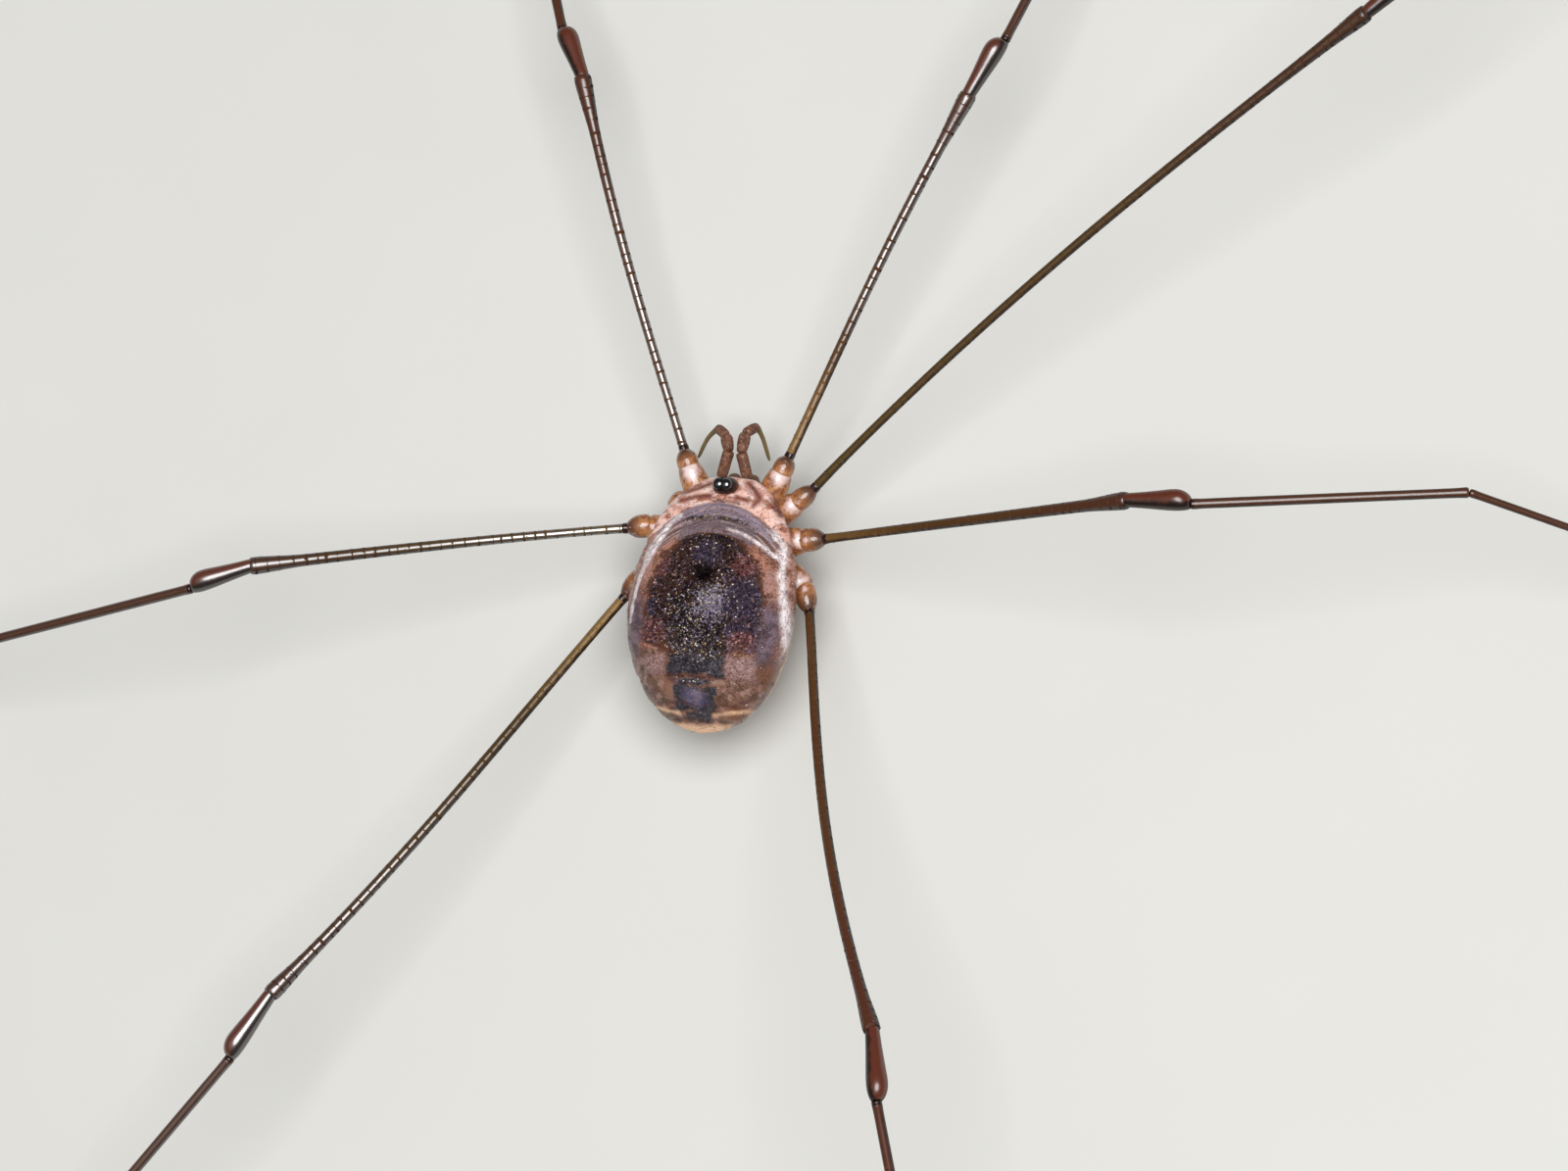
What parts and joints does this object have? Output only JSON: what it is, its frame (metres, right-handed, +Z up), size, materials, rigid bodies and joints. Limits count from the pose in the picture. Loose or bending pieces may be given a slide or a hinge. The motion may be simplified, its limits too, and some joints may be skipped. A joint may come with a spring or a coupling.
{
  "type": "harvestman",
  "caption": "Life-size harvestman with a small oval body, an eye mound and long thread-like jointed legs spread out on the floor; one second leg is missing.",
  "frame": {"origin": "on the floor, under the middle of the box that holds the whole animal", "axes": "+Z up, from the floor to the back; the animal faces -Y and its right side lies towards -X"},
  "size_m": [0.0874, 0.0754, 0.0074],
  "materials": {
    "prosoma": "granular cuticle, orange brown and pinkish grey",
    "opisthosoma": "granular cuticle, dark saddle with fine golden granules",
    "eye": "glossy black",
    "palp": "mottled reddish brown, semi-gloss",
    "trochanter": "glossy amber",
    "leg": "semi-gloss dark brown cuticle",
    "tarsus": "translucent olive brown"
  },
  "bodies": {
    "root": {"prosoma": "prosoma", "opisthosoma": "opisthosoma", "ocularium": "eye", "eye_left": "eye", "eye_right": "eye", "chelicera_left": "palp", "palp_left_femur": "palp", "palp_left_patella": "palp", "palp_left_tibia": "palp", "palp_left_tarsus": "palp", "chelicera_right": "palp", "palp_right_femur": "palp", "palp_right_patella": "palp", "palp_right_tibia": "palp", "palp_right_tarsus": "palp", "leg_left_1_trochanter": "trochanter", "leg_left_1_femur": "leg", "leg_left_1_patella": "leg", "leg_left_1_tibia": "leg", "leg_left_1_metatarsus": "leg", "leg_left_1_tarsus": "tarsus", "leg_left_3_trochanter": "trochanter", "leg_left_3_femur": "leg", "leg_left_3_patella": "leg", "leg_left_3_tibia": "leg", "leg_left_3_metatarsus": "leg", "leg_left_3_tarsus": "tarsus", "leg_left_4_trochanter": "trochanter", "leg_left_4_femur": "leg", "leg_left_4_patella": "leg", "leg_left_4_tibia": "leg", "leg_left_4_metatarsus": "leg", "leg_left_4_tarsus": "tarsus", "leg_right_1_trochanter": "trochanter", "leg_right_1_femur": "leg", "leg_right_1_patella": "leg", "leg_right_1_tibia": "leg", "leg_right_1_metatarsus": "leg", "leg_right_1_tarsus": "tarsus", "leg_right_2_trochanter": "trochanter", "leg_right_2_femur": "leg", "leg_right_2_patella": "leg", "leg_right_2_tibia": "leg", "leg_right_2_metatarsus": "leg", "leg_right_2_tarsus": "tarsus", "leg_right_3_trochanter": "trochanter", "leg_right_3_femur": "leg", "leg_right_3_patella": "leg", "leg_right_3_tibia": "leg", "leg_right_3_metatarsus": "leg", "leg_right_3_tarsus": "tarsus", "leg_right_4_trochanter": "trochanter", "leg_right_4_femur": "leg", "leg_right_4_patella": "leg", "leg_right_4_tibia": "leg", "leg_right_4_metatarsus": "leg", "leg_right_4_tarsus": "tarsus"}
  },
  "joints": []
}
